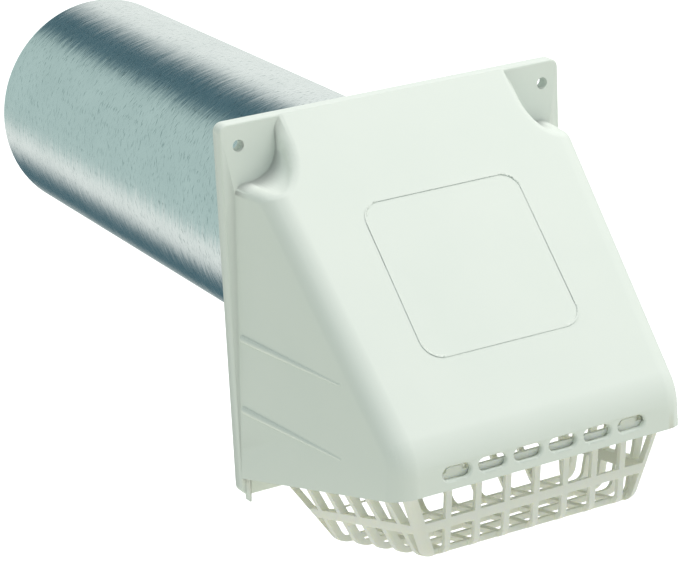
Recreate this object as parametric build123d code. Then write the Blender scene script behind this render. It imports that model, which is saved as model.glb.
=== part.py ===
from build123d import *
import math
import os

# Exterior wall vent hood for a 4 in exhaust duct: hood, metal tail pipe, back-draft flap, bird guard.
# Millimetres. Origin: the duct's axis where it crosses the wall. -Y points out of the wall, +Z is up.

# Flange: the square frame that is screwed to the wall.
FLANGE_WIDTH = 152.4
FLANGE_TOP = 70.0
FLANGE_BOTTOM = -82.4
FLANGE_DEPTH = 5.5
FLANGE_SKIN = 2.6
FLANGE_RIM = 2.4
FLANGE_CORNER = 3.5
FLANGE_EDGE_R = 0.8
POCKET_CORNER = 2.5
SCREW_X = 68.5
SCREW_Z = 60.9
SCREW_R = 2.4
SCREW_BOSS_R = 5.8

# Hood: a sloping roof, two side walls that close in towards the front, and a front lip.
SKIN = 2.2
HOOD_DEPTH = 108.6
ROOF_TOP = 70.0
ROOF_FALL = 1.015
SIDE_X = 72.95
SIDE_DRAFT = 0.04
SIDE_TAPER = 0.111
MOUTH_Z = -75.9
MOUTH_RISE = 0.232
EDGE_R = 9.5
LIP_TURN_R = 20.0
RECESS_X = 53.0
RECESS_Z = 46.0
RECESS_R = 12.0
RECESS_EDGE_R = 4.5
HOLLOW_DROP = 20.0
BLOCK_BACK = 12.0
BLOCK_SUNK = 0.5

# Stiffening ribs on each side wall, the plain panel outline on the roof, and the slots in the lip.
RIB_Z = (-15.5, -45.0)
RIB_R = 1.7
RIB_SUNK = 0.5
RIB_TIP_R = 0.8
RIB_TIP_SUNK = 0.55
RIB_START = -8.5
RIB_END = -72.0
PANEL_WIDTH = 70.0
PANEL_Y = (-36.0, -84.0)
PANEL_CORNER = 8.5
PANEL_BEAD = 0.9
PANEL_HEIGHT = 0.3
PANEL_SUNK = 0.5
SLOT_COUNT = 6
SLOT_PITCH = 15.45
SLOT_LENGTH = 12.0
SLOT_HEIGHT = 5.4
SLOT_Z = -44.4
SLOT_CUT = 12.0
SLOT_FLARE = 0.8
FOOT_RIB = 1.2
FOOT_RIB_X = 73.2
FOOT_RIB_DEPTH = 3.0
FOOT_RIB_BOTTOM = -84.0

# Duct: the collar moulded on the flange's back, the pipe whose swaged end goes over it, and the rivets.
PIPE_R = 50.8
PIPE_WALL = 0.5
PIPE_LENGTH = 279.4
PIPE_START = -2.0
SWAGE = 0.6
SWAGE_END = 21.0
SWAGE_FADE = 4.0
SEAM_WIDTH = 6.0
SEAM_HEIGHT = 1.0
SEAM_ANGLE = -60.0
SEAM_START_GAP = 2.0
COLLAR_GAP = 0.05
COLLAR_BORE = 48.0
COLLAR_END = 19.0
BACK_RIB = 1.6
BACK_RIB_COUNT = 8
BACK_RIB_START = 53.5
BACK_RIB_TOP = -0.6
RIVET_COUNT = 3
RIVET_Y = 10.0
RIVET_R = 1.6
RIVET_HEAD_R = 3.2
RIVET_HEAD = 1.0
RIVET_HEAD_ROUND = 0.8
RIVET_TAIL_R = 2.3
RIVET_TAIL = 1.6
RIVET_TAIL_GAP = 0.06
RIVET_DRILL = 10.0

# Damper: a flap that hangs from a wire rod and closes on a raised seat.
SEAT_R = 50.3
SEAT_HEIGHT = 3.0
HINGE_Y = -11.4
HINGE_Z = 54.0
ROD_R = 1.0
ROD_HALF = 45.6
ROD_CHAMFER = 0.25
EAR_INNER = 42.0
EAR_OUTER = 45.0
EAR_R = 3.2
FLAP_R = 52.0
FLAP_SKIN = 1.6
FLAP_GAP = 0.2
FLAP_TONGUE = 40.0
FLAP_RING_R = 46.0
FLAP_RIB = 1.2
FLAP_RIB_HEIGHT = 1.4
FLAP_RIB_X = (-20.0, 0.0, 20.0)
FLAP_RIB_OVERLAP = 0.5
KNUCKLE_R = 2.7
KNUCKLE_CLEARANCE = 0.06
KNUCKLE_LENGTH = 12.0
KNUCKLE_X = (-30.0, 0.0, 30.0)

# Bird guard: a tub of bars square to the mouth. Its frame: X across, Y back along the mouth, Z out of it.
GUARD_DEPTH = 27.5
GUARD_TOP = 2.6
GUARD_FRONT = (-105.7, -95.4)
GUARD_REAR = (-18.5, -33.1)
GUARD_HALF = (57.0, 47.5)
GUARD_TAPER = 0.12
GUARD_SKIN = 2.2
GUARD_SIDE_SKIN = 3.4
GUARD_CORNER_R = 6.0
GUARD_FLOOR_R = 6.5
BAR = 2.5
BAR_PITCH = 12.95
BAR_COUNT = 7
BAR_ROWS = (-90.0, -77.0, -64.0, -51.0, -38.0)
RAIL_Z = -14.5
RAIL = 3.8
RAIL_STOP = 2.8
POST = 4.0
POST_MARGIN = 5.0
LEDGE_GAP = 0.8
LEDGE = (0.2, 2.2)
TAB_X = 38.6
TAB_WIDTH = 9.0
TAB_THICK = 1.5
TAB_GAP = 0.4
TAB_TOP = -41.2
TAB_NUB = (7.0, 3.0)
NUB_PROUD = 0.6
NUB_DEPTH = 1.0
TAB_FOOT = 1.0
RIM_HALF = 46.0
RIM_TOP = -44.8
STOP_Y = (-30.0, -80.0)
STOP_LENGTH = 8.0
STOP_HEIGHT = 2.5
STOP_RISE = 3.5
STOP_REACH = 2.2

ROOF_STEEP = math.hypot(1, ROOF_FALL)
MOUTH_STEEP = math.hypot(1, MOUTH_RISE)
FAR = 200.0

# Tolerances for picking edges: lying on a plane, lying near a curved-over wall, and being clear of a limit.
ON_PLANE = 0.01
NEAR_WALL = 0.6
CLEAR = 1.0
COLLAR_R = PIPE_R + SWAGE - PIPE_WALL - COLLAR_GAP


def roof_z(y, inset=0.0):
    """Height of the roof's surface, or of the surface that lies inset below it."""
    return ROOF_TOP + ROOF_FALL * (y + FLANGE_DEPTH) - inset * ROOF_STEEP


def mouth_z(y):
    return MOUTH_Z - MOUTH_RISE * y


def side_x(y, z, inset=0.0):
    return SIDE_X - SIDE_DRAFT * z + SIDE_TAPER * (y + FLANGE_DEPTH) - inset


def box(low, high):
    """A box between two corners."""
    size = [end - start for start, end in zip(low, high)]
    return Pos(*low) * Box(*size, align=(Align.MIN, Align.MIN, Align.MIN))


def along_y(radius, start, end):
    """A cylinder on the duct's axis from one Y to another."""
    middle = Pos(0, (start + end) / 2, 0)
    return middle * Rot(90, 0, 0) * Cylinder(radius, end - start)


def along_x(radius, low, high, y, z):
    middle = Pos((low + high) / 2, y, z)
    return middle * Rot(0, 90, 0) * Cylinder(radius, high - low)


def mirrored(shape):
    """The shape and its mirror image across the middle plane."""
    return [shape, mirror(shape, about=Plane.YZ)]


def corners(y, inset, drop):
    """The four corners of the hood's outline at one distance from the wall."""
    top = roof_z(y, inset)
    bottom = mouth_z(y) - drop
    x_top, x_bottom = side_x(y, top, inset), side_x(y, bottom, inset)
    return [(-x_top, y, top), (x_top, y, top), (x_bottom, y, bottom), (-x_bottom, y, bottom)]


def wedge(inset, drop):
    """The hood's flat-sided solid, from behind the flange to its lip."""
    near, far = corners(BLOCK_BACK, inset, drop), corners(inset - HOOD_DEPTH, inset, drop)
    loops = [near, far]
    for i in range(4):
        j = (i + 1) % 4
        loops.append([near[i], near[j], far[j], far[i]])
    return Solid(Shell([make_face(Polyline(*loop, close=True)).face() for loop in loops]))


def recess(grow):
    """The corner cut back so that a screwdriver reaches the screw, grown by a wall's thickness."""
    x, z = RECESS_X - grow, RECESS_Z - grow
    outline = Pos((x + FAR) / 2, (z + FAR) / 2) * Rectangle(FAR - x, FAR - z)
    inner_corner = outline.vertices().sort_by(Axis.X)[:2].sort_by(Axis.Y)[0]
    outline = fillet(inner_corner, RECESS_R + grow)
    return extrude(Plane.XZ * outline, FAR, both=True)


def hood_block(inset, drop):
    """The hood as a rounded solid: inset 0 is its outside, and inset SKIN its hollow."""
    block = wedge(inset, drop)
    front = inset - HOOD_DEPTH
    front_edges = [e for e in block.edges() if abs(e.center().Y - front) < ON_PLANE]
    top_edge = max(front_edges, key=lambda e: e.center().Z)
    block = fillet(top_edge, LIP_TURN_R - inset)
    rim = [e for e in block.edges() if is_side_edge(e, inset)]
    block = fillet(rim, EDGE_R - inset)
    for cut in mirrored(recess(inset)):
        block -= cut
    outline = [e for e in block.edges() if is_recess_edge(e, inset)]
    block = fillet(outline, RECESS_EDGE_R - inset)
    back = -FLANGE_DEPTH if inset else BLOCK_SUNK - FLANGE_DEPTH
    return block & box((-FAR, -FAR, -FAR), (FAR, back, FLANGE_TOP))


def is_side_edge(edge, inset):
    """Whether an edge runs between a side wall and the roof, the lip or the turn between them."""
    middle = edge.center()
    on_side = abs(abs(middle.X) - side_x(middle.Y, middle.Z, inset)) < NEAR_WALL
    above_mouth = middle.Z > mouth_z(middle.Y) + CLEAR
    return on_side and above_mouth and middle.Y < BLOCK_BACK - CLEAR


def is_recess_edge(edge, inset):
    """Whether an edge is where a corner recess breaks through the roof or a side wall."""
    middle = edge.center()
    x, z = RECESS_X - inset, RECESS_Z - inset
    near_corner = abs(middle.X) > x - CLEAR and middle.Z > z - CLEAR
    off_back = middle.Y < BLOCK_BACK - CLEAR
    straight_back = edge.geom_type == GeomType.LINE and abs(edge.tangent_at(0.5).Y) > 0.99
    return near_corner and off_back and not straight_back


def flange():
    """The square frame, hollow behind, with its screw bosses, back ribs and duct collar."""
    half = FLANGE_WIDTH / 2
    frame = box((-half, -FLANGE_DEPTH, FLANGE_BOTTOM), (half, 0, FLANGE_TOP))
    frame = fillet(frame.edges().filter_by(Axis.Y), FLANGE_CORNER)
    frame = fillet(frame.faces().sort_by(Axis.Y)[0].edges(), FLANGE_EDGE_R)
    floor = FLANGE_SKIN - FLANGE_DEPTH
    inner = half - FLANGE_RIM
    pocket = box((-inner, floor, FLANGE_BOTTOM + FLANGE_RIM), (inner, 0, FLANGE_TOP - FLANGE_RIM))
    pocket = fillet(pocket.edges().filter_by(Axis.Y), POCKET_CORNER)
    for side in (-1, 1):
        pocket -= Pos(side * SCREW_X, 0, SCREW_Z) * along_y(SCREW_BOSS_R, floor, 0)
    pocket -= along_y(COLLAR_R, floor, 0)
    rib = box((BACK_RIB_START, floor, -BACK_RIB / 2), (FAR, BACK_RIB_TOP, BACK_RIB / 2))
    for i in range(BACK_RIB_COUNT):
        pocket -= Rot(0, (i + 0.5) * 360 / BACK_RIB_COUNT, 0) * rib
    return frame - pocket + along_y(COLLAR_R, -FLANGE_DEPTH, COLLAR_END)


def side_ribs():
    """Tapered half-round ribs that stiffen the side walls."""
    ribs = []
    for z in RIB_Z:
        start = Vector(side_x(RIB_START, z) - RIB_SUNK, RIB_START, z)
        end = Vector(side_x(RIB_END, z) - RIB_TIP_SUNK, RIB_END, z)
        plane = Plane(origin=start, x_dir=(0, 0, 1), z_dir=end - start)
        length = (end - start).length
        rib = plane * Pos(0, 0, length / 2) * Cone(RIB_R, RIB_TIP_R, length)
        rib = rib + Pos(start) * Sphere(RIB_R) + Pos(end) * Sphere(RIB_TIP_R)
        ribs += mirrored(rib)
    return ribs


def roof_panel():
    """The plain rounded outline that stands a little proud of the roof."""
    y = sum(PANEL_Y) / 2
    length = (PANEL_Y[0] - PANEL_Y[1]) * ROOF_STEEP
    roof = Plane(origin=(0, y, roof_z(y)), x_dir=(1, 0, 0), z_dir=(0, -ROOF_FALL, 1))
    outer = RectangleRounded(PANEL_WIDTH, length, PANEL_CORNER)
    inner = offset(outer, -PANEL_BEAD, kind=Kind.ARC)
    bead = roof * (outer - inner)
    return extrude(bead, PANEL_HEIGHT) + extrude(bead, -PANEL_SUNK)


def lip_slots():
    """The row of drain and clip slots through the front lip, each with a flared outer edge."""
    slot = extrude(Plane.XZ * SlotOverall(SLOT_LENGTH, SLOT_HEIGHT), SLOT_CUT, both=True)
    grow = 2 * SLOT_FLARE
    wide = Plane.XZ * SlotOverall(SLOT_LENGTH + grow, SLOT_HEIGHT + grow)
    slot += loft([wide, Plane.XZ.offset(-SLOT_FLARE) * SlotOverall(SLOT_LENGTH, SLOT_HEIGHT)])
    first = -SLOT_PITCH * (SLOT_COUNT - 1) / 2
    return [Pos(first + i * SLOT_PITCH, -HOOD_DEPTH, SLOT_Z) * slot for i in range(SLOT_COUNT)]


def hinge_ears():
    """Two ears inside the hood that hold the damper's rod."""
    ear = along_x(EAR_R, EAR_INNER, EAR_OUTER, HINGE_Y, HINGE_Z)
    ear += box((EAR_INNER, HINGE_Y, HINGE_Z - EAR_R), (EAR_OUTER, -FLANGE_DEPTH, HINGE_Z + EAR_R))
    return mirrored(ear)


def guard_stops():
    """Small blocks inside the side walls that the guard's rim comes up against."""
    stops = []
    for y in STOP_Y:
        z = mouth_z(y) + GUARD_TOP * MOUTH_STEEP + STOP_RISE
        x = side_x(y, z, SKIN)
        low = (x - LEDGE_GAP - STOP_REACH, y - STOP_LENGTH / 2, z)
        stops += mirrored(box(low, (x + SKIN / 2, y + STOP_LENGTH / 2, z + STOP_HEIGHT)))
    return stops


def make_hood():
    hood = hood_block(0, 0) + flange()
    foot = box(
        (FOOT_RIB_X, -FLANGE_DEPTH - FOOT_RIB_DEPTH, FOOT_RIB_BOTTOM),
        (FOOT_RIB_X + FOOT_RIB, -FLANGE_DEPTH + 1, mouth_z(-FLANGE_DEPTH) + 2),
    )
    for extra in side_ribs() + mirrored(foot) + [roof_panel()]:
        hood += extra
    hood -= hood_block(SKIN, HOLLOW_DROP)
    hood += along_y(SEAT_R, -FLANGE_DEPTH - SEAT_HEIGHT, -FLANGE_DEPTH)
    for extra in hinge_ears() + guard_stops():
        hood += extra
    hood -= along_y(COLLAR_BORE, -FLANGE_DEPTH - SEAT_HEIGHT, COLLAR_END)
    hood -= along_x(ROD_R, -ROD_HALF, ROD_HALF, HINGE_Y, HINGE_Z)
    for slot in lip_slots():
        hood -= slot
    for side in (-1, 1):
        hood -= Pos(side * SCREW_X, 0, SCREW_Z) * along_y(SCREW_R, -FLANGE_DEPTH, 0)
    for angle in rivet_angles():
        hood -= Rot(0, angle, 0) * rivet_axis(Cylinder(RIVET_R, RIVET_DRILL))
    return hood


def rivet_angles():
    return [90 + i * 360 / RIVET_COUNT for i in range(RIVET_COUNT)]


def rivet_axis(shape):
    """Lays a shape made about Z along a radius of the collar, at the rivets' distance from the wall."""
    return Pos(PIPE_R, RIVET_Y, 0) * Rot(0, 90, 0) * shape


def make_tail_pipe():
    """Rolled sheet pipe: its front end is swaged over the collar, and its lock seam stands inside."""
    big, small = PIPE_R + SWAGE, PIPE_R
    fade_end, end = SWAGE_END + SWAGE_FADE, PIPE_START + PIPE_LENGTH
    outer = [(big, PIPE_START), (big, SWAGE_END), (small, fade_end), (small, end)]
    inner = [(r - PIPE_WALL, y) for r, y in reversed(outer)]
    wall = make_face(Polyline(*outer, *inner, close=True))
    pipe = revolve(wall, Axis.Y)
    seam_r = PIPE_R - PIPE_WALL
    seam = box(
        (seam_r - SEAM_HEIGHT, fade_end + SEAM_START_GAP, -SEAM_WIDTH / 2),
        (seam_r + PIPE_WALL / 2, end, SEAM_WIDTH / 2),
    )
    pipe += Rot(0, -SEAM_ANGLE, 0) * seam
    for angle in rivet_angles():
        pipe -= Rot(0, angle, 0) * rivet_axis(Cylinder(RIVET_R, RIVET_DRILL))
    return pipe


def along_z(radius, low, high):
    return Pos(0, 0, (low + high) / 2) * Cylinder(radius, high - low)


def make_pipe_rivets():
    """Blind rivets: a rounded head outside the pipe, a shank, and a set tail inside the collar."""
    head, tail = PIPE_R + SWAGE, COLLAR_BORE - RIVET_TAIL_GAP
    cap = along_z(RIVET_HEAD_R, head, head + RIVET_HEAD)
    cap = fillet(cap.edges().sort_by(Axis.Z)[-1], RIVET_HEAD_ROUND)
    rivet = along_z(RIVET_TAIL_R, tail - RIVET_TAIL, tail) + along_z(RIVET_R, tail, head) + cap
    rivet = Pos(0, RIVET_Y, 0) * Rot(0, 90, 0) * rivet
    return Compound(children=[Rot(0, angle, 0) * rivet for angle in rivet_angles()])


def make_hinge_rod():
    rod = along_x(ROD_R, -ROD_HALF, ROD_HALF, HINGE_Y, HINGE_Z)
    return chamfer(rod.edges(), ROD_CHAMFER)


def make_damper_flap():
    """A ribbed disc with a tongue above it that carries the knuckles round the rod."""
    back = -FLANGE_DEPTH - SEAT_HEIGHT - FLAP_GAP
    front = back - FLAP_SKIN
    flap = along_y(FLAP_R, front, back)
    flap += box((-FLAP_TONGUE, front, HINGE_Z / 2), (FLAP_TONGUE, back, HINGE_Z - ROD_R))
    rib_front = front - FLAP_RIB_HEIGHT
    flap += along_y(FLAP_RING_R, rib_front, front) - along_y(FLAP_RING_R - FLAP_RIB, rib_front, front)
    for x in FLAP_RIB_X:
        reach = math.sqrt(FLAP_RING_R**2 - x * x) - FLAP_RIB_OVERLAP
        flap += box((x - FLAP_RIB / 2, rib_front, -reach), (x + FLAP_RIB / 2, front, reach))
    for x in KNUCKLE_X:
        low, high = x - KNUCKLE_LENGTH / 2, x + KNUCKLE_LENGTH / 2
        flap += along_x(KNUCKLE_R, low, high, HINGE_Y, HINGE_Z)
    flap -= along_x(ROD_R + KNUCKLE_CLEARANCE, -FAR, FAR, HINGE_Y, HINGE_Z)
    return flap


def guard_plane():
    """The guard's frame: X across, Y back along the mouth towards the wall, Z up out of the guard."""
    return Plane(origin=(0, 0, MOUTH_Z), x_dir=(1, 0, 0), z_dir=(0, MOUTH_RISE, 1))


def at_height(pair, z):
    """A value that runs evenly from the tub's top to its floor."""
    return pair[0] - z / GUARD_DEPTH * (pair[1] - pair[0])


def guard_corners(z):
    """The tub's front and rear corners on its right side, at a height in the guard's frame."""
    front, rear = at_height(GUARD_FRONT, z), at_height(GUARD_REAR, z)
    half = at_height(GUARD_HALF, z)
    return (half, front), (half + GUARD_TAPER * (rear - front), rear)


def guard_section(z, inset, side_inset):
    """The tub's outline at a height in the guard's frame."""
    (x_front, front), (x_rear, rear) = guard_corners(z)
    right = [(x_front - side_inset, front + inset, z), (x_rear - side_inset, rear - inset, z)]
    left = [(-x, y, z) for x, y, _ in reversed(right)]
    return make_face(Polyline(*right, *left, close=True))


def tub(inset, side_inset):
    """The guard's outer form, or the hollow inside it, whose corners are eased half as much as its skin."""
    low, high = inset - GUARD_DEPTH, GUARD_TOP
    sections = [guard_section(z, inset, side_inset) for z in (low, high)]
    block = loft(sections, ruled=True)
    upright = [e for e in block.edges() if low + CLEAR < e.center().Z < high - CLEAR]
    block = fillet(upright, GUARD_CORNER_R - inset / 2)
    return fillet(block.faces().sort_by(Axis.Z)[0].edges(), GUARD_FLOOR_R - inset)


def leaning_slab(plane, low_edge, high_edge, sign):
    """A slab that starts POST inside a leaning edge of the tub and reaches out past it."""
    (low, z_low), (high, z_high) = low_edge, high_edge
    inner = [(low - sign * POST, z_low), (high - sign * POST, z_high)]
    outer = [(high + sign * POST_MARGIN, z_high), (low + sign * POST_MARGIN, z_low)]
    return extrude(plane * make_face(Polyline(*inner, *outer, close=True)), FAR, both=True)


def post(side, end):
    """The square column that follows one leaning corner of the tub: end 0 is the front, 1 the rear."""
    low, high = guard_corners(-GUARD_DEPTH)[end], guard_corners(GUARD_TOP)[end]
    across = leaning_slab(Plane.XZ, (side * low[0], -GUARD_DEPTH), (side * high[0], GUARD_TOP), side)
    outwards = 1 if end else -1
    along = leaning_slab(Plane.YZ, (low[1], -GUARD_DEPTH), (high[1], GUARD_TOP), outwards)
    return across & along


def guard_grid():
    """The slabs that pick the bars out of the tub's skin. The middle rail stops at the rear posts."""
    half = BAR / 2
    first = -BAR_PITCH * (BAR_COUNT - 1) / 2
    bars_x = [first + i * BAR_PITCH for i in range(BAR_COUNT)]
    slabs = [box((x - half, -FAR, -FAR), (x + half, FAR, FAR)) for x in bars_x]
    slabs += [box((-FAR, y - half, -FAR), (FAR, y + half, FAR)) for y in BAR_ROWS]
    rail_end = at_height(GUARD_REAR, RAIL_Z) - RAIL_STOP
    slabs.append(box((-FAR, -FAR, RAIL_Z - RAIL / 2), (FAR, rail_end, RAIL_Z + RAIL / 2)))
    slabs.append(box((-FAR, -FAR, LEDGE[0]), (FAR, FAR, GUARD_TOP)))
    slabs += [post(side, end) for side in (-1, 1) for end in (0, 1)]
    return slabs


def guard_ledge():
    """The flat rim that spreads from the tub's top edge to just short of the hood's walls."""
    y_front, y_rear = LEDGE_GAP + SKIN - HOOD_DEPTH, -FLANGE_DEPTH - SEAT_HEIGHT - LEDGE_GAP
    right = [(side_x(y, mouth_z(y), SKIN + LEDGE_GAP), y) for y in (y_front, y_rear)]
    left = [(-x, y) for x, y in reversed(right)]
    outline = make_face(Polyline(*right, *left, close=True))
    outline = fillet(outline.vertices(), EDGE_R - SKIN - LEDGE_GAP)
    column = extrude(outline, FAR, both=True)
    plate = box((-FAR, -FAR, LEDGE[0]), (FAR, FAR, LEDGE[1]))
    return column & (guard_plane() * plate)


def guard_tabs():
    """Two tongues that stand up behind the end slots, each with a nub facing its slot."""
    front = SKIN + TAB_GAP - HOOD_DEPTH
    bottom = mouth_z(front) + TAB_FOOT
    back = front + NUB_PROUD
    tongue = box(
        (TAB_X - TAB_WIDTH / 2, back, bottom), (TAB_X + TAB_WIDTH / 2, back + TAB_THICK, TAB_TOP)
    )
    nub = Pos(TAB_X, front, SLOT_Z) * extrude(Plane.XZ * SlotOverall(*TAB_NUB), -NUB_DEPTH)
    return mirrored(tongue + nub)


def guard_rim():
    """The low wall that stands up behind the lip and closes the lower half of its slots."""
    front = SKIN + TAB_GAP - HOOD_DEPTH
    return box((-RIM_HALF, front, mouth_z(front) + TAB_FOOT), (RIM_HALF, front + TAB_THICK, RIM_TOP))


def make_bird_guard():
    hollow = tub(GUARD_SKIN, GUARD_SIDE_SKIN)
    skin = tub(0, 0) - hollow
    bars = [skin & slab for slab in guard_grid()]
    guard = guard_plane() * bars[0].fuse(*bars[1:])
    guard += guard_ledge() - guard_plane() * hollow
    for extra in guard_tabs() + [guard_rim()]:
        guard += extra
    return guard


NODES = {
    "hood": make_hood,
    "tail_pipe": make_tail_pipe,
    "pipe_rivets": make_pipe_rivets,
    "hinge_rod": make_hinge_rod,
    "damper_flap": make_damper_flap,
    "bird_guard": make_bird_guard,
}

os.makedirs("parts", exist_ok=True)
for node, make in NODES.items():
    export_step(make(), f"parts/{node}.step")
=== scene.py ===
import math

import bpy
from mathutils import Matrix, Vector


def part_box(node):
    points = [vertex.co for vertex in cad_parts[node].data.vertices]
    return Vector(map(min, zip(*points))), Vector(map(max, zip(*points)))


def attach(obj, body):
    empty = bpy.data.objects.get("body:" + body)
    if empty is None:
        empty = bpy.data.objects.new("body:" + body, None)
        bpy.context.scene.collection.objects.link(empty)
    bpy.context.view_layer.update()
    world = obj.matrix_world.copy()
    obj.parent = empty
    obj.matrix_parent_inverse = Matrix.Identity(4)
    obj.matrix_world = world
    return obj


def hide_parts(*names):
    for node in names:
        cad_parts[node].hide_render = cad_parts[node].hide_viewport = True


# An exterior wall vent hood. Metres. X right, Y into the wall along the duct's axis, Z up.

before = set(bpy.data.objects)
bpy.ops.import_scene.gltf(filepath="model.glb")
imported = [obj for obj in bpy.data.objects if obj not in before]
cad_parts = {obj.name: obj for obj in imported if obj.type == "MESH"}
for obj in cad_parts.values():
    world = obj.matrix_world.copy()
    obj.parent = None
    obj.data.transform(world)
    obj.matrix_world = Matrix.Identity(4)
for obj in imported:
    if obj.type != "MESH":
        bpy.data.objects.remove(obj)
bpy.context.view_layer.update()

# Camera
VIEW_FROM = Vector((-0.5177, -0.9134, 0.3688))
VIEW_AT = Vector((-0.0263, -0.0024, -0.0034))
VIEW_ROLL = math.radians(-2.88)
LENS = 148.1

# Plastic
MOULD_GRAIN = 0.02
PLASTIC_IOR = 1.49
GLOW_DEPTH = 0.002

# Studio
FLOOR_Z = -0.6
FLOOR_SIZE = 40.0
FLOOR_GLOW = 0.7
BACKDROP = 1.05
SOFTBOX_AT = Vector((0.75, -0.40, 1.7))
SOFTBOX_SIZE = 1.3
SOFTBOX_POWER = 23.5

# Pipe
SWAGE = 0.0006
PIPE_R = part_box("tail_pipe")[1].x - SWAGE
SCRATCH_LEAN = 0.12
SCRATCH_TILT = 0.30
SCRATCH_MIDDLE = 0.85
SCUFF_LEAN = -0.45
CUT_EDGE = 0.00015
RIM_ZONE = 0.001
PIPE_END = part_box("tail_pipe")[1].y

# Joining, moulded edges, and what counts as a sharp edge or as one wide flat wall
JOIN_GAP = 2e-6
SHARP_EDGE = math.radians(50)
GUARD_EDGE = 0.00035
WIDE_WALL = 0.00015
IN_PLANE = 0.9999995


def deselect():
    if bpy.context.object and bpy.context.object.mode != "OBJECT":
        bpy.ops.object.mode_set(mode="OBJECT")
    bpy.ops.object.select_all(action="DESELECT")


def pick(piece):
    """Makes one piece the only selected object."""
    deselect()
    piece.select_set(True)
    bpy.context.view_layer.objects.active = piece


def apply_modifier(piece, kind, **settings):
    pick(piece)
    modifier = piece.modifiers.new(kind, kind)
    for name, value in settings.items():
        setattr(modifier, name, value)
    bpy.ops.object.modifier_apply(modifier=modifier.name)


def joined_copy(source, name):
    """A copy of a CAD node's shape, with its loose triangles joined at their corners."""
    piece = bpy.data.objects.new(name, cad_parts[source].data.copy())
    bpy.context.scene.collection.objects.link(piece)
    pick(piece)
    bpy.ops.object.mode_set(mode="EDIT")
    bpy.ops.mesh.select_all(action="SELECT")
    bpy.ops.mesh.remove_doubles(threshold=JOIN_GAP)
    bpy.ops.object.mode_set(mode="OBJECT")
    return piece


def soften_edges(piece, width, low=-math.inf, high=math.inf):
    """Rounds the sharp edges that lie between two distances from the wall."""
    pick(piece)
    bpy.ops.object.mode_set(mode="EDIT")
    bpy.ops.mesh.select_mode(type="EDGE")
    bpy.ops.mesh.select_all(action="DESELECT")
    bpy.ops.mesh.edges_select_sharp(sharpness=SHARP_EDGE)
    bpy.ops.object.mode_set(mode="OBJECT")
    points = piece.data.vertices
    for edge in piece.data.edges:
        if edge.select:
            edge.select = all(low < points[i].co.y < high for i in edge.vertices)
    bpy.ops.object.mode_set(mode="EDIT")
    bpy.ops.mesh.bevel(offset=width, offset_type="OFFSET", segments=2, clamp_overlap=True)
    bpy.ops.object.mode_set(mode="OBJECT")


def flat_walls(mesh, least_area):
    """The faces that lie in one plane with their neighbours over at least an area."""
    owner = list(range(len(mesh.polygons)))

    def root(face):
        while owner[face] != face:
            owner[face] = owner[owner[face]]
            face = owner[face]
        return face

    beside = {}
    for face in mesh.polygons:
        for key in face.edge_keys:
            other = beside.setdefault(key, face)
            if other.normal.dot(face.normal) > IN_PLANE:
                owner[root(other.index)] = root(face.index)
    areas = {}
    for face in mesh.polygons:
        areas[root(face.index)] = areas.get(root(face.index), 0.0) + face.area
    return [face.index for face in mesh.polygons if areas[root(face.index)] > least_area]


def smooth(piece, degrees=32):
    """Smooth shading over rounded edges, with wide flat walls kept flat right up to their edges."""
    pick(piece)
    bpy.ops.object.shade_smooth_by_angle(angle=math.radians(degrees))
    bpy.ops.object.mode_set(mode="EDIT")
    bpy.ops.mesh.select_mode(type="FACE")
    bpy.ops.mesh.select_all(action="DESELECT")
    bpy.ops.object.mode_set(mode="OBJECT")
    for index in flat_walls(piece.data, WIDE_WALL):
        piece.data.polygons[index].select = True
    bpy.ops.object.mode_set(mode="EDIT")
    bpy.ops.mesh.mod_weighted_strength(set=True, face_strength="STRONG")
    bpy.ops.object.mode_set(mode="OBJECT")
    apply_modifier(piece, "WEIGHTED_NORMAL", keep_sharp=True, use_face_influence=True)


# Materials


def new_material(name):
    """A material, with its node tree and its shader."""
    material = bpy.data.materials.new(name)
    material.use_nodes = True
    tree = material.node_tree
    return material, tree, tree.nodes["Principled BSDF"]


def node(tree, kind, inputs=None, **settings):
    made = tree.nodes.new(kind)
    for name, value in settings.items():
        setattr(made, name, value)
    for name, value in (inputs or {}).items():
        if isinstance(value, bpy.types.NodeSocket):
            tree.links.new(value, made.inputs[name])
        else:
            made.inputs[name].default_value = value
    return made


def ramp(tree, factor, stops):
    made = node(tree, "ShaderNodeValToRGB", {"Fac": factor})
    elements = made.color_ramp.elements
    elements[0].position, elements[1].position = stops[0][0], stops[-1][0]
    for position, _ in stops[1:-1]:
        elements.new(position)
    for element, (_, colour) in zip(elements, stops):
        element.color = (*colour, 1.0)
    return made.outputs["Color"]


def math_node(tree, operation, *values):
    return node(tree, "ShaderNodeMath", dict(enumerate(values)), operation=operation).outputs[0]


def negative(tree, value):
    return math_node(tree, "MULTIPLY", value, -1.0)


def noise(tree, place, scale, detail, **more):
    inputs = {"Vector": place, "Scale": scale, "Detail": detail, **more}
    return node(tree, "ShaderNodeTexNoise", inputs).outputs["Fac"]


def between(tree, value, low, high):
    """Spreads a value from 0 to 1 over another range."""
    return node(tree, "ShaderNodeMapRange", {"Value": value, "To Min": low, "To Max": high}).outputs["Result"]


def bump(tree, height, strength, distance, **more):
    inputs = {"Height": height, "Strength": strength, "Distance": distance, **more}
    return node(tree, "ShaderNodeBump", inputs).outputs["Normal"]


def streaks(tree, around, along, scale, detail):
    """Noise drawn out round the pipe: scale is its fineness round the pipe and along it."""
    wide = math_node(tree, "MULTIPLY", around, scale[0])
    fine = math_node(tree, "MULTIPLY", along, scale[1])
    spread = node(tree, "ShaderNodeCombineXYZ", {"X": wide, "Y": fine})
    return noise(tree, spread.outputs[0], 1.0, detail)


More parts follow.
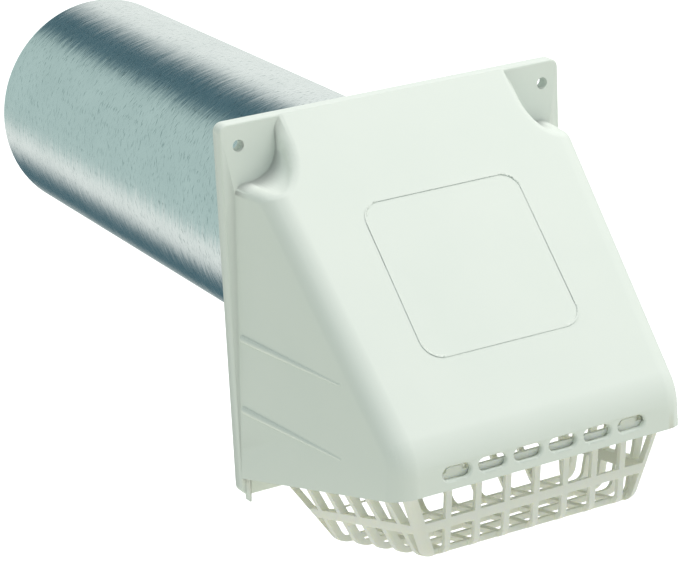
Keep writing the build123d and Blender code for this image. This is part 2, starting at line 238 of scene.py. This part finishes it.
def moulded_plastic(name, light, dark, roughness, glow=0.0):
    """Off-white moulded plastic, faintly cloudy, with a fine mould texture and a slightly uneven gloss."""
    material, tree, shader = new_material(name)
    place = node(tree, "ShaderNodeTexCoord").outputs["Object"]
    cloud = noise(tree, place, 28.0, 3.0, Roughness=0.5)
    speck = noise(tree, place, 900.0, 2.0)
    waviness = noise(tree, place, 14.0, 1.0)
    tree.links.new(ramp(tree, cloud, [(0.3, dark), (0.7, light)]), shader.inputs["Base Color"])
    tree.links.new(between(tree, cloud, roughness - 0.04, roughness + 0.05), shader.inputs["Roughness"])
    soft = bump(tree, waviness, 0.25, 0.0004)
    tree.links.new(bump(tree, speck, MOULD_GRAIN, 0.0002, Normal=soft), shader.inputs["Normal"])
    shader.inputs["IOR"].default_value = PLASTIC_IOR
    shader.inputs["Subsurface Weight"].default_value = glow
    shader.inputs["Subsurface Radius"].default_value = (1.0, 0.9, 0.6)
    shader.inputs["Subsurface Scale"].default_value = GLOW_DEPTH
    return material


def bright_sheet_metal(name):
    """Bare rolled sheet with fine scratches round the pipe, a few short scuffs and a faint cloudiness."""
    material, tree, shader = new_material(name)
    place = node(tree, "ShaderNodeTexCoord").outputs["Object"]
    split = node(tree, "ShaderNodeSeparateXYZ", {"Vector": place})
    angle = math_node(tree, "ARCTAN2", split.outputs["X"], split.outputs["Z"])
    around = math_node(tree, "MULTIPLY", angle, PIPE_R)
    # Hair-fine scratches lean a little off the hoop: the way along takes in a little of the way round.
    along = math_node(tree, "MULTIPLY_ADD", around, SCRATCH_LEAN, split.outputs["Y"])
    hairs = streaks(tree, around, along, (22.0, 1500.0), 2.0)
    lines = streaks(tree, around, along, (110.0, 2600.0), 1.0)
    both = math_node(tree, "MULTIPLY_ADD", lines, 0.7, hairs)
    tilt = math_node(tree, "MULTIPLY_ADD", both, SCRATCH_TILT, -SCRATCH_MIDDLE * SCRATCH_TILT)
    left = negative(tree, split.outputs["X"])
    across = node(tree, "ShaderNodeCombineXYZ", {"X": split.outputs["Z"], "Z": left})
    tangent = node(tree, "ShaderNodeVectorMath", {0: across.outputs["Vector"]}, operation="NORMALIZE")
    push = node(tree, "ShaderNodeVectorMath", {0: tangent.outputs[0], "Scale": tilt}, operation="SCALE")
    surface = node(tree, "ShaderNodeNewGeometry").outputs["Normal"]
    turned = node(tree, "ShaderNodeVectorMath", {0: surface, 1: push.outputs[0]}, operation="ADD")
    normal = node(tree, "ShaderNodeVectorMath", {0: turned.outputs[0]}, operation="NORMALIZE")
    tree.links.new(normal.outputs[0], shader.inputs["Normal"])
    # Short scuffs lie both ways, and darken the metal slightly where they are deepest.
    back = math_node(tree, "MULTIPLY_ADD", around, SCUFF_LEAN, split.outputs["Y"])
    scuffs = math_node(
        tree,
        "MAXIMUM",
        streaks(tree, around, back, (260.0, 1300.0), 0.0),
        streaks(tree, around, along, (300.0, 1700.0), 0.0),
    )
    plain, scuffed = (0.97, 0.97, 0.97), (0.55, 0.60, 0.60)
    marked = ramp(tree, scuffs, [(0.0, plain), (0.68, plain), (0.80, scuffed)])
    tone = ramp(tree, noise(tree, place, 55.0, 4.0), [(0.3, (0.93, 0.94, 0.94)), (0.7, (1.0, 1.0, 1.0))])
    colour = node(tree, "ShaderNodeMix", {6: marked, 7: tone}, data_type="RGBA", blend_type="MULTIPLY")
    colour.inputs[0].default_value = 1.0
    tree.links.new(colour.outputs[2], shader.inputs["Base Color"])
    tree.links.new(between(tree, hairs, 0.17, 0.27), shader.inputs["Roughness"])
    shader.inputs["Metallic"].default_value = 1.0
    return material


def plain_metal(name, colour, roughness):
    material, tree, shader = new_material(name)
    place = node(tree, "ShaderNodeTexCoord").outputs["Object"]
    cloud = noise(tree, place, 300.0, 3.0)
    tree.links.new(between(tree, cloud, roughness - 0.08, roughness + 0.08), shader.inputs["Roughness"])
    shader.inputs["Base Color"].default_value = (*colour, 1.0)
    shader.inputs["Metallic"].default_value = 1.0
    return material


# Studio


def make_camera():
    data = bpy.data.cameras.new("camera")
    data.lens = LENS
    data.sensor_width = 36.0
    data.clip_start, data.clip_end = 0.05, 100.0
    camera = bpy.data.objects.new("camera", data)
    bpy.context.scene.collection.objects.link(camera)
    camera.location = VIEW_FROM
    turned = (VIEW_AT - VIEW_FROM).to_track_quat("-Z", "Y").to_euler()
    turned.rotate_axis("Z", VIEW_ROLL)
    camera.rotation_euler = turned
    bpy.context.scene.camera = camera


def make_floor():
    """A white floor that is clear from below, and that neither lights the object nor shows in reflections."""
    deselect()
    bpy.ops.mesh.primitive_plane_add(size=FLOOR_SIZE, location=(0, 0, FLOOR_Z))
    floor = bpy.context.object
    floor.name = "studio_floor"
    material, tree, shader = new_material("studio_floor")
    shader.inputs["Base Color"].default_value = (0.9, 0.9, 0.9, 1)
    shader.inputs["Roughness"].default_value = 1.0
    shader.inputs["Emission Color"].default_value = (1, 1, 1, 1)
    shader.inputs["Emission Strength"].default_value = FLOOR_GLOW
    clear = node(tree, "ShaderNodeBsdfTransparent")
    back = node(tree, "ShaderNodeNewGeometry").outputs["Backfacing"]
    mixed = node(tree, "ShaderNodeMixShader", {0: back, 1: shader.outputs["BSDF"], 2: clear.outputs["BSDF"]})
    tree.links.new(mixed.outputs["Shader"], tree.nodes["Material Output"].inputs["Surface"])
    floor.data.materials.append(material)
    floor.visible_glossy = False
    floor.visible_diffuse = False


def make_softbox():
    data = bpy.data.lights.new("softbox", "AREA")
    data.shape = "SQUARE"
    data.size = SOFTBOX_SIZE
    data.energy = SOFTBOX_POWER
    softbox = bpy.data.objects.new("softbox", data)
    bpy.context.scene.collection.objects.link(softbox)
    softbox.location = SOFTBOX_AT
    softbox.rotation_euler = (VIEW_AT - SOFTBOX_AT).to_track_quat("-Z", "Y").to_euler()
    softbox.visible_glossy = False
    data.color = (1.0, 0.96, 0.93)


# What reflections see, by degrees round the duct's axis: 0 overhead, 90 on the left, 180 below, 270 on the
# right. A grey wall and a low white screen stand on the left, a white wall on the right, and dark gaps are
# left overhead and below.
DARK_GAP = (0.05, 0.12, 0.15)
GREY_WALL = (0.40, 0.54, 0.52)
WHITE_SCREEN = (0.78, 0.84, 0.81)
SCREENS = [
    (0, DARK_GAP),
    (10, DARK_GAP),
    (25, GREY_WALL),
    (120, GREY_WALL),
    (135, WHITE_SCREEN),
    (150, WHITE_SCREEN),
    (170, DARK_GAP),
    (200, DARK_GAP),
    (220, WHITE_SCREEN),
    (315, WHITE_SCREEN),
    (340, DARK_GAP),
]

# The room's diffuse light, from below (0) to overhead (1): a bright table, dim walls and a pale ceiling.
ROOM_TONES = [
    (0.0, (1.60, 1.56, 1.35)),
    (0.35, (0.95, 0.97, 0.88)),
    (0.50, (0.23, 0.32, 0.30)),
    (1.0, (0.78, 0.80, 0.79)),
]


def make_room():
    """A room for diffuse light, screens that only reflections see, and a white backdrop for the camera."""
    world = bpy.data.worlds.new("studio_room")
    bpy.context.scene.world = world
    world.use_nodes = True
    tree = world.node_tree
    direction = node(tree, "ShaderNodeTexCoord").outputs["Generated"]
    split = node(tree, "ShaderNodeSeparateXYZ", {"Vector": direction})
    angle = math_node(tree, "ARCTAN2", negative(tree, split.outputs["X"]), split.outputs["Z"])
    turns = math_node(tree, "WRAP", math_node(tree, "MULTIPLY", angle, 1 / math.tau), 1.0, 0.0)
    stops = [(degrees / 360, colour) for degrees, colour in SCREENS] + [(1.0, SCREENS[0][1])]
    screens = ramp(tree, turns, stops)
    seen = node(tree, "ShaderNodeBackground", {"Color": screens})
    height = node(tree, "ShaderNodeMapRange", {"Value": split.outputs["Z"], "From Min": -1.0})
    even = node(tree, "ShaderNodeBackground", {"Color": ramp(tree, height.outputs["Result"], ROOM_TONES)})
    white = node(tree, "ShaderNodeBackground", {"Color": (1.0, 1.0, 1.0, 1), "Strength": BACKDROP})
    ray = node(tree, "ShaderNodeLightPath")
    glossy, to_camera = ray.outputs["Is Glossy Ray"], ray.outputs["Is Camera Ray"]
    lit = node(tree, "ShaderNodeMixShader", {0: glossy, 1: even.outputs[0], 2: seen.outputs[0]})
    shown = node(tree, "ShaderNodeMixShader", {0: to_camera, 1: lit.outputs[0], 2: white.outputs[0]})
    tree.links.new(shown.outputs[0], tree.nodes["World Output"].inputs["Surface"])
    bpy.context.scene.view_settings.view_transform = "Standard"


# Pieces


def finish_piece(piece, material, body, part):
    piece.data.materials.clear()
    piece.data.materials.append(material)
    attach(piece, body)
    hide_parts(part)


def make_hood(plastic):
    hood = joined_copy("hood", "hood_moulding")
    smooth(hood)
    finish_piece(hood, plastic, "housing", "hood")


def make_guard(plastic):
    guard = joined_copy("bird_guard", "guard_moulding")
    soften_edges(guard, GUARD_EDGE)
    smooth(guard)
    finish_piece(guard, plastic, "guard", "bird_guard")


def make_flap(plastic):
    flap = joined_copy("damper_flap", "flap_moulding")
    smooth(flap)
    finish_piece(flap, plastic, "damper", "damper_flap")


def make_pipe(metal):
    pipe = joined_copy("tail_pipe", "pipe_sheet")
    soften_edges(pipe, CUT_EDGE, low=PIPE_END - RIM_ZONE)
    smooth(pipe)
    finish_piece(pipe, metal, "housing", "tail_pipe")


def make_rivets(metal):
    rivets = joined_copy("pipe_rivets", "rivet_set")
    smooth(rivets)
    finish_piece(rivets, metal, "housing", "pipe_rivets")


def make_rod(metal):
    rod = joined_copy("hinge_rod", "hinge_wire")
    smooth(rod)
    finish_piece(rod, metal, "housing", "hinge_rod")


make_camera()
make_floor()
make_softbox()
make_room()

hood_plastic = moulded_plastic("hood_plastic", (0.81, 0.855, 0.805), (0.79, 0.84, 0.79), 0.42)
# The guard's plastic is lighter than the hood's partly as painted light: its colour is raised to stand in for
# light from below that the guard lacks in the hood's shade.
guard_plastic = moulded_plastic("guard_plastic", (0.96, 0.965, 0.90), (0.93, 0.935, 0.86), 0.45, glow=0.3)
flap_plastic = moulded_plastic("flap_plastic", (0.78, 0.81, 0.76), (0.75, 0.78, 0.73), 0.45)
bright_sheet = bright_sheet_metal("bright_sheet")
rivet_metal = plain_metal("rivet_metal", (0.7, 0.71, 0.72), 0.35)
rod_steel = plain_metal("rod_steel", (0.55, 0.56, 0.57), 0.3)

make_hood(hood_plastic)
make_guard(guard_plastic)
make_flap(flap_plastic)
make_pipe(bright_sheet)
make_rivets(rivet_metal)
make_rod(rod_steel)
